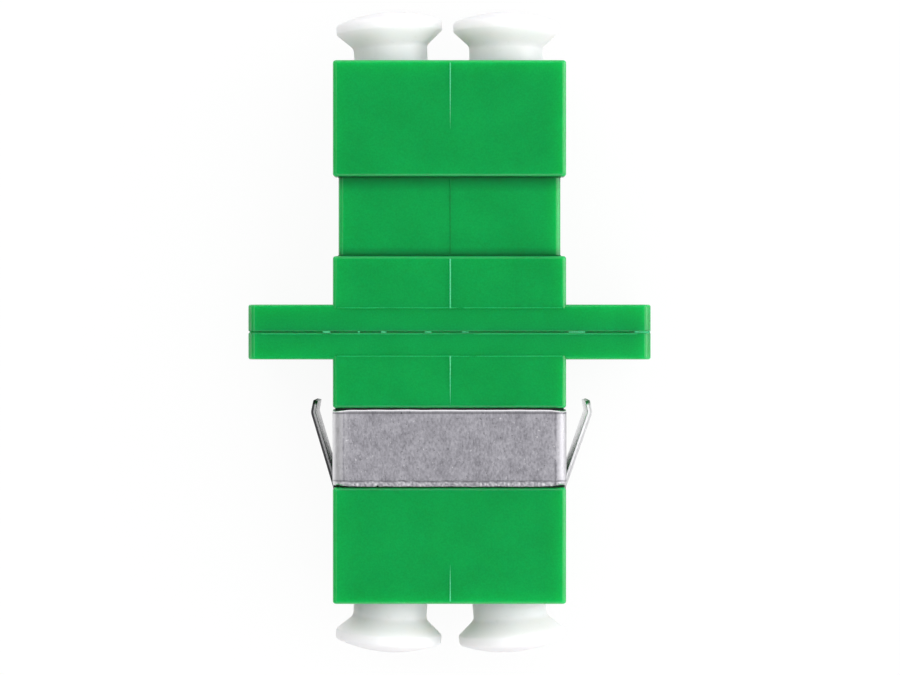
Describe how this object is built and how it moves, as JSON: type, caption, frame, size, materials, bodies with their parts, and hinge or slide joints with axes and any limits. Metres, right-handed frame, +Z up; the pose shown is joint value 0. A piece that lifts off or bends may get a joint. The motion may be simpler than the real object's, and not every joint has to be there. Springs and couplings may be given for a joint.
{
  "type": "fibre optic coupler",
  "caption": "Green flanged coupler that joins LC fibre plugs end to end through a panel, with a sprung steel panel clip, split alignment sleeves and white dust caps.",
  "frame": {"origin": "centre of the body, on the weld plane of the two housing halves in the middle of the flange", "axes": "+Y along the fibres towards the half without the clip, +X across the two ports, +Z up out of the plain wide face, with the latch side facing down"},
  "size_m": [0.022, 0.0358, 0.0094],
  "materials": {
    "green_plastic": "moulded, satin",
    "white_plastic": "soft moulded, slightly translucent",
    "spring_steel": "rolled stainless sheet, tumbled",
    "zirconia": "ground and polished"
  },
  "bodies": {
    "coupler": {"front_housing": "green_plastic", "rear_housing": "green_plastic", "left_sleeve": "zirconia", "right_sleeve": "zirconia", "panel_clip": "spring_steel"},
    "left_tab": {"left_clip_tab": "spring_steel"},
    "right_tab": {"right_clip_tab": "spring_steel"},
    "front_left_plug": {"front_left_cap": "white_plastic"},
    "front_right_plug": {"front_right_cap": "white_plastic"},
    "rear_left_plug": {"rear_left_cap": "white_plastic"},
    "rear_right_plug": {"rear_right_cap": "white_plastic"}
  },
  "joints": [
    {"name": "left_tab_press", "type": "hinge", "parent": "coupler", "child": "left_tab", "pos_m": [-0.00628, -0.0087, 0], "axis": [0, 0, -1], "range_deg": [0, 15.5], "stiffness_Nm_per_rad": 0.15},
    {"name": "right_tab_press", "type": "hinge", "parent": "coupler", "child": "right_tab", "pos_m": [0.00628, -0.0087, 0], "axis": [0, 0, 1], "range_deg": [0, 18.3], "stiffness_Nm_per_rad": 0.15},
    {"name": "front_left_cap_pull", "type": "slide", "parent": "coupler", "child": "front_left_plug", "axis": [0, 1, 0], "range_m": [0, 0.02]},
    {"name": "front_right_cap_pull", "type": "slide", "parent": "coupler", "child": "front_right_plug", "axis": [0, 1, 0], "range_m": [0, 0.02]},
    {"name": "rear_left_cap_pull", "type": "slide", "parent": "coupler", "child": "rear_left_plug", "axis": [0, -1, 0], "range_m": [0, 0.02]},
    {"name": "rear_right_cap_pull", "type": "slide", "parent": "coupler", "child": "rear_right_plug", "axis": [0, -1, 0], "range_m": [0, 0.02]}
  ]
}
